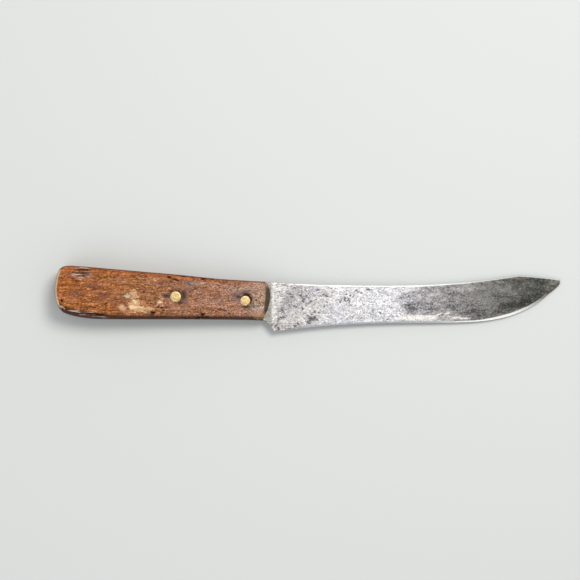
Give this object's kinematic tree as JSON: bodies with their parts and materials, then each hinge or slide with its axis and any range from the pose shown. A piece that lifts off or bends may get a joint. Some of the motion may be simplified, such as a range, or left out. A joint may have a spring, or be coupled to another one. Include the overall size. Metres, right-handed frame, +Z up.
{
  "type": "butcher's knife",
  "caption": "Butcher's knife with an upswept clipped blade and a saw-slotted wooden handle on a half tang held by cutler's rivets, lying on its side.",
  "frame": {"origin": "under the middle of the knife's outline, on the surface that it lies on", "axes": "+X from the butt towards the point, +Y towards the spine, +Z up, out of the side that shows"},
  "size_m": [0.3016, 0.0388, 0.02],
  "materials": {
    "steel": "worn carbon steel, grey patina towards the tip, bright sharpened edge",
    "wood": "old bare hardwood, worn, split and stained",
    "brass": "hammered and worn flush, dull"
  },
  "bodies": {
    "root": {"blade": "steel", "handle": "wood", "front_rivet_female": "brass", "front_rivet_male": "brass", "rear_rivet_female": "brass", "rear_rivet_male": "brass"}
  },
  "joints": []
}
